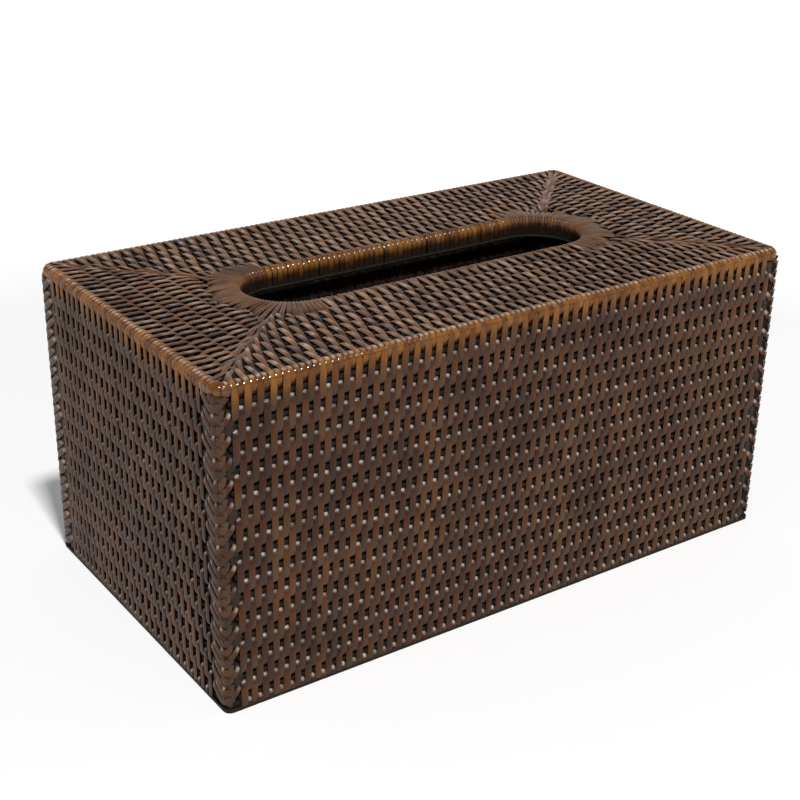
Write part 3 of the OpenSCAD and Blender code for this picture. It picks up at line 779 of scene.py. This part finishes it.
def corner_braid(sx, sy):
    """Arms in pairs fall from both walls to the corner, a pair below each wall rod."""
    pitch = WALL_RODS[1] - WALL_RODS[0]
    rods = np.concatenate([[WALL_RODS[0] - pitch], WALL_RODS, [WALL_RODS[-1] + pitch]])
    arms = [braid_arm(sx, sy, rod_s, arm, kind, sign) for rod_s in rods
            for (kind, pair), sign in ((LONG_ARMS, 1), (SHORT_ARMS, -1)) for arm in pair]
    return [arm for arm in arms if arm]


def braid_arm(sx, sy, rod_s, arm, kind, sign):
    """One arm of the herringbone, or None where the foot or the rail leaves no room for it."""
    slope, gap, lie, dip, steeper, half = kind
    start, end, drop = arm
    start = start + rng.normal(0, BRAID_JITTER)
    w = np.linspace(start, end, ARM_POINTS)
    rounding = clip01(1 - np.abs(w[1:]) / BRAID_CORNER) * steeper
    fall = np.concatenate([[0], np.cumsum(-np.diff(w) * math.tan(slope) * (1 + rounding))])
    z = BOX_H - rod_s - ROD_R - gap - drop - fall + rng.normal(0, BRAID_JITTER)
    run = (start - w) / math.cos(slope)
    left = run[-1] - run
    depth = (OUTER_U + lie + ARM_RISE * clip01(1 - run / ARM_RISE_RUN) ** 1.5
             + dip * clip01(1 - left / ARM_END)
             - ARM_CROWN * np.sin(clip01(run / run[-1]) * math.pi))
    keep = (z > BRAID_LOW + 0.6) & (z < BRAID_TOP)
    if keep.sum() < LEAST_ARM:
        return None
    w, z, depth, run, left = w[keep], z[keep], depth[keep], run[keep], left[keep]
    if z[-1] < BRAID_LOW + 1.8:
        depth = depth + 0.5 * clip01(1 - (z - z[-1]) / 1.5)
    places = [skin_place(sign * a, d) for a, d in zip(w, depth)]
    xy, out = np.array([place for place, _ in places]), np.array([side for _, side in places])
    points = np.stack([sx * (HALF_X - xy[:, 0]), sy * (HALF_Y - xy[:, 1]), z], 1)
    outward = np.stack([-sx * out[:, 0], -sy * out[:, 1], np.zeros(len(z))], 1)
    half = half * (1 + rng.normal(0, ARM_SPREAD)) * np.interp(run, ARM_HALF_X, ARM_HALF)
    half = half * (1 - ARM_NARROW * clip01(1 - left / ARM_END))
    glint = np.interp(run, ARM_GLINT_X, ARM_GLINT) * rng.uniform(*ARM_GLINTS)
    return Strand(points, outward, half, deep=(depth - ARM_SHADE_FROM) / ARM_SHADE_OVER, glint=glint,
                  run=np.interp(run, ARM_RUN_X, ARM_RUN))


# ---- materials ----
def plug(tree, node, sockets):
    """Links each named or numbered socket to an output, or sets it to a number or a colour."""
    for key, value in sockets.items():
        socket = node.inputs[key]
        if isinstance(value, bpy.types.NodeSocket):
            tree.links.new(value, socket)
        else:
            socket.default_value = (*value, 1) if socket.type == "RGBA" else value


def add(tree, kind, sockets=None):
    node = tree.nodes.new("ShaderNode" + kind)
    plug(tree, node, sockets or {})
    return node


def new_material(name):
    material = bpy.data.materials.new(name)
    material.use_nodes = True
    tree = material.node_tree
    tree.nodes.clear()
    shader = add(tree, "BsdfPrincipled")
    add(tree, "OutputMaterial", {0: shader.outputs[0]})
    return material, tree, shader


def noise(tree, vector, scale, detail, rough=0.55):
    sockets = {"Vector": vector, "Scale": scale, "Detail": detail, "Roughness": rough}
    return add(tree, "TexNoise", sockets).outputs[0]


def stretched(tree, vector, factors):
    return add(tree, "Mapping", {"Vector": vector, "Scale": factors}).outputs[0]


def math_node(tree, kind, a, b):
    node = add(tree, "Math", {0: a, 1: b})
    node.operation = kind
    return node.outputs[0]


def ramp(tree, value, stops):
    node = add(tree, "ValToRGB", {0: value})
    while len(node.color_ramp.elements) < len(stops):
        node.color_ramp.elements.new(0.5)
    for element, (place, colour) in zip(node.color_ramp.elements, stops):
        element.position = place
        element.color = (*colour, 1)
    return node.outputs[0]


def attribute(tree, name):
    node = add(tree, "Attribute")
    node.attribute_name = name
    return node.outputs["Fac"]


def mixed(tree, factor, a, b, kind="MIX"):
    node = add(tree, "Mix")
    node.data_type = "RGBA"
    node.blend_type = kind
    plug(tree, node, {0: factor, 6: a, 7: b})     # its factor and its two colours
    return node.outputs[2]


def bump(tree, height, strength, distance):
    return add(tree, "Bump", {"Height": height, "Strength": strength, "Distance": distance}).outputs[0]


def map_range(tree, value, low, high, to_low, to_high):
    sockets = {0: value, "From Min": low, "From Max": high, "To Min": to_low, "To Max": to_high}
    return add(tree, "MapRange", sockets).outputs[0]


def seen_by(tree, *kinds):
    """1 for rays of the named kinds, 0 for others."""
    path = add(tree, "LightPath")
    seen = path.outputs[kinds[0]]
    for kind in kinds[1:]:
        seen = math_node(tree, "MAXIMUM", seen, path.outputs[kind])
    return seen


DARK, RED = (0.011, 0.005, 0.003), (0.046, 0.010, 0.004)
BROWN, AMBER, TAN = (0.062, 0.023, 0.007), (0.130, 0.042, 0.006), (0.130, 0.064, 0.026)
# colours of the painted shade and of the painted highlights
SHADE_COLOUR, GLINT_COLOUR = (0.017, 0.012, 0.010), (0.76, 0.62, 0.52)
WALL_STOPS = [(0.12, DARK), (0.30, RED), (0.46, BROWN), (0.62, AMBER), (0.85, TAN)]
# Lighter and greyer than the walls' stops: partly the top's own colour, partly painted sheen of the sky
# that it mirrors
TOP_STOPS = [(0.12, (0.045, 0.023, 0.015)), (0.30, (0.110, 0.054, 0.034)), (0.46, (0.160, 0.086, 0.052)),
             (0.62, (0.205, 0.090, 0.036)), (0.85, (0.250, 0.155, 0.100))]
EDGE_STOPS = [(0.10, RED), (0.35, BROWN), (0.60, AMBER), (0.90, (0.21, 0.085, 0.020))]
LIT_STOPS = [(0.10, (0.10, 0.030, 0.007)), (0.45, (0.18, 0.065, 0.011)), (0.85, (0.29, 0.118, 0.020))]
# Painted reflections and light along each float, by its share of the way: dark red below the knuckle where
# it faces the dim sky, amber, a taupe sheen where it mirrors the floor, and a painted lit grey where it
# dives
FLOAT_SHEEN_STOPS = [(0.14, (0.022, 0.005, 0.003)), (0.21, (0.030, 0.007, 0.003)), (0.29, (0.095, 0.026, 0.003)),
             (0.42, (0.092, 0.033, 0.006)), (0.58, (0.076, 0.043, 0.023)), (0.80, (0.080, 0.055, 0.040)),
             (0.91, (0.190, 0.150, 0.125))]
BLOTCH_STOPS = [(0.38, (0.66, 0.61, 0.58)), (0.60, (1, 1, 1))]
PATCH_SCALE, FIBRE_SCALE = (0.12, 0.10, 1), (3.2, 0.10, 1)        # per millimetre, across and along
BLOTCH_SCALE, STREAK_SCALE = 30.0, 900.0          # per metre
TONE_SHARE, PATCH_SHARE, FIBRE_SHARE = 0.55, 0.95, 0.45   # of the mix that picks a colour
MIX_SHIFT = 0.22
# how far the painted light of the edge and the painted highlights go towards their colours
SUNLIT_SHARE = GLINT_SHARE = 0.85


def peel_material(name, stops, float_sheen=0.0, coat=0.7, dim=0.92):
    """Lacquered peel: fibres along the strand, patches of stain, and painted shade by `dim` where it dives.
    By its float sheen share, painted reflections and light run along each float: dark red below each
    knuckle, then amber, a taupe sheen on the tail and a painted lit grey where it dives."""
    material, tree, shader = new_material(name)
    peel_map = add(tree, "UVMap")
    peel_map.uv_map = "peel"
    place, surface = peel_map.outputs[0], add(tree, "TexCoord").outputs["Object"]
    patches = noise(tree, stretched(tree, place, PATCH_SCALE), 1.0, 2.0)
    fibres = noise(tree, stretched(tree, place, FIBRE_SCALE), 1.0, 4.0, 0.65)
    blotches = ramp(tree, noise(tree, surface, BLOTCH_SCALE, 2.0), BLOTCH_STOPS)

    def share(value, factor):
        return math_node(tree, "MULTIPLY", value, factor)

    patchy = math_node(tree, "SUBTRACT", share(patches, PATCH_SHARE), MIX_SHIFT)
    mix = math_node(tree, "ADD", share(attribute(tree, "tone"), TONE_SHARE), patchy)
    mix = math_node(tree, "ADD", mix, share(math_node(tree, "SUBTRACT", fibres, 0.5), FIBRE_SHARE))
    colour = ramp(tree, mix, stops)
    if float_sheen:
        colour = mixed(tree, float_sheen, colour, ramp(tree, attribute(tree, "run"), FLOAT_SHEEN_STOPS))
    colour = mixed(tree, 1.0, colour, blotches, "MULTIPLY")
    # the painted light of the sunlit edge and rim, then the painted highlights, then the painted shade
    colour = mixed(tree, share(attribute(tree, "amber"), SUNLIT_SHARE), colour, ramp(tree, mix, LIT_STOPS))
    colour = mixed(tree, share(attribute(tree, "glint"), GLINT_SHARE), colour, GLINT_COLOUR)
    colour = mixed(tree, share(attribute(tree, "deep"), dim), colour, SHADE_COLOUR)
    plug(tree, shader, {"Base Color": colour, "Roughness": 0.5, "Coat Weight": coat, "Coat Roughness": 0.12,
                        "Specular IOR Level": 0.05, "Normal": bump(tree, fibres, 0.25, 0.00012)})
    return material


def cane_material(name, dark, light):
    """Dark cane, streaked along no one direction so that it suits every rod."""
    material, tree, shader = new_material(name)
    streaks = noise(tree, add(tree, "TexCoord").outputs["Object"], STREAK_SCALE, 4.0, 0.6)
    colour = ramp(tree, streaks, [(0.35, dark), (0.7, light)])
    plug(tree, shader, {"Base Color": colour, "Roughness": 0.65, "Specular IOR Level": 0.1,
                        "Normal": bump(tree, streaks, 0.3, 0.0001)})
    return material


peel_wall = peel_material("peel_wall", WALL_STOPS, float_sheen=0.55, coat=0.28, dim=0.96)
peel_top = peel_material("peel_top", TOP_STOPS)
peel_edge = peel_material("peel_edge", EDGE_STOPS)
cane = cane_material("cane", (0.010, 0.008, 0.0065), (0.025, 0.020, 0.016))
foot_cane = cane_material("foot_cane", (0.012, 0.012, 0.009), (0.030, 0.028, 0.020))
hem_cane = cane_material("hem_cane", (0.009, 0.010, 0.009), (0.022, 0.023, 0.019))

# ---- pieces ----
SIDES = ("front", "right", "back", "left")
for side, word in enumerate(SIDES):
    weave_piece(f"weave_{word}_wall", wall_strands(side), peel_wall,
                [f"{word}_wall_strands"])
    weave_piece(f"weave_{word}_top", top_strands(side), peel_top, [f"top_{word}_strands"])
weave_piece("slot_fan_right", slot_end(1), peel_top, ["slot_end_wraps_right"])
weave_piece("slot_fan_left", slot_end(-1), peel_top, ["slot_end_wraps_left"])
weave_piece("mitre_runs", mitre_strands(), peel_top, ["mitre_strands"])
weave_piece("rail_corners", rail_corner_wraps(), peel_edge, ["rail_corner_wraps"])
CORNERS = ((-1, -1, "front_left"), (1, -1, "front_right"), (-1, 1, "back_left"), (1, 1, "back_right"))
for sx, sy, word in CORNERS:
    weave_piece(f"herringbone_{word}", corner_braid(sx, sy), peel_wall,
                [f"corner_braid_{word}"])

for name, node in frame["nodes"].items():
    node.data.materials.clear()
    node.data.materials.append({"foot_strip": foot_cane, "slot_hem": hem_cane}.get(name, cane))

# ---- floor, light and camera ----
FLOOR_GLOW = 0.13       # added for the camera outside the box, so that only the shadow is grey
NEAR_FLOOR, FAR_FLOOR = 0.35, 1.1   # between these the floor turns to the plain white of the backdrop
FLOOR_SHADOW, FLOOR_PALE = (0.06, 0.06, 0.06), (0.95, 0.95, 0.95)   # under the box, a painted shadow, and outside it
FLOOR_INSET = 1.5       # how far under the box the pale part goes
SKY_HIGH, SKY_LOW, SKY_OVERHEAD = 0.7, 0.7, 0.1   # height to which it dims, from one light to the other
LAMP_AZ, LAMP_EL = math.radians(-15), math.radians(64)
LAMP_FAR, LAMP_SIZE, LAMP_POWER = 4.0, 0.35, 130  # metres and watts
CAMERA_AZ, CAMERA_EL, CAMERA_ROLL = math.radians(-35.05), math.radians(24.31), math.radians(0.9)
CAMERA_FAR, CAMERA_RIGHT, CAMERA_UP = 625.0, 7.11, 0.74
FOCAL_PIXELS, IMAGE_PIXELS, SENSOR = 1475.0, 800.0, 36.0


def floor():
    bpy.ops.mesh.primitive_plane_add(size=8, location=(0, 0, 0))
    plane = bpy.context.object
    plane.name = "floor"
    material, tree, shader = new_material("floor_white")
    coords = add(tree, "TexCoord").outputs["Object"]
    place = add(tree, "SeparateXYZ", {0: coords})
    beyond = [math_node(tree, "GREATER_THAN", math_node(tree, "ABSOLUTE", place.outputs[axis], 0.0),
                        (half - FLOOR_INSET) * MM) for axis, half in enumerate((HALF_X, HALF_Y))]
    outside = math_node(tree, "MAXIMUM", *beyond)
    plug(tree, shader, {"Base Color": mixed(tree, outside, FLOOR_SHADOW, FLOOR_PALE), "Roughness": 0.9,
                        "Specular IOR Level": 0.0})
    length = add(tree, "VectorMath", {0: coords})
    length.operation = "LENGTH"
    reach = map_range(tree, length.outputs["Value"], NEAR_FLOOR, FAR_FLOOR, FLOOR_GLOW, 1.0)
    seen = seen_by(tree, "Is Camera Ray", "Is Transmission Ray", "Is Glossy Ray")
    strength = math_node(tree, "MULTIPLY", math_node(tree, "MULTIPLY", seen, outside), reach)
    glow = add(tree, "Emission", {"Strength": strength})
    both = add(tree, "AddShader", {0: shader.outputs[0], 1: glow.outputs[0]})
    out = next(n for n in tree.nodes if n.type == "OUTPUT_MATERIAL")
    plug(tree, out, {0: both.outputs[0]})
    plane.data.materials.append(material)


def world():
    """White to the camera; as light it is pale near the horizon and dimmer overhead."""
    scene_world = bpy.data.worlds.new("studio")
    bpy.context.scene.world = scene_world
    scene_world.use_nodes = True
    tree = scene_world.node_tree
    height = add(tree, "SeparateXYZ", {0: add(tree, "TexCoord").outputs["Generated"]})
    sky = map_range(tree, height.outputs[2], 0.0, SKY_HIGH, SKY_LOW, SKY_OVERHEAD)
    seen = seen_by(tree, "Is Camera Ray", "Is Transmission Ray")
    strength = math_node(tree, "MAXIMUM", seen, sky)
    plug(tree, tree.nodes["Background"], {"Color": (1, 1, 1), "Strength": strength})


def towards(azimuth, elevation):
    """Unit vector from the box, where azimuth 0 is straight out of the front."""
    return Vector((math.sin(azimuth) * math.cos(elevation), -math.cos(azimuth) * math.cos(elevation),
                   math.sin(elevation)))


def lamp():
    """A square area lamp aimed at the middle of the box."""
    data = bpy.data.lights.new("key", "AREA")
    data.size, data.energy = LAMP_SIZE, LAMP_POWER
    back = towards(LAMP_AZ, LAMP_EL)
    lamp_object = bpy.data.objects.new("key", data)
    lamp_object.location = Vector((0, 0, BOX_H / 2 * MM)) + back * LAMP_FAR
    lamp_object.rotation_euler = back.to_track_quat("Z", "Y").to_euler()
    bpy.context.scene.collection.objects.link(lamp_object)


def camera():
    """The photo's camera, with the roll and the shift of its aim that fit the box's corners."""
    data = bpy.data.cameras.new("photo_camera")
    data.sensor_width = SENSOR
    data.lens = SENSOR * FOCAL_PIXELS / IMAGE_PIXELS
    back = towards(CAMERA_AZ, CAMERA_EL)
    level = Vector((math.cos(CAMERA_AZ), math.sin(CAMERA_AZ), 0))
    right = level * math.cos(CAMERA_ROLL) + back.cross(level) * math.sin(CAMERA_ROLL)
    up = back.cross(right)
    eye = Vector((0, 0, BOX_H / 2)) + back * CAMERA_FAR - right * CAMERA_RIGHT - up * CAMERA_UP
    holder = bpy.data.objects.new("photo_camera", data)
    holder.matrix_world = Matrix.Translation(eye * MM) @ Matrix((right, up, back)).transposed().to_4x4()
    data.clip_start = 0.01
    bpy.context.scene.collection.objects.link(holder)
    bpy.context.scene.camera = holder


floor()
world()
lamp()
camera()
bpy.context.scene.view_settings.view_transform = "Standard"
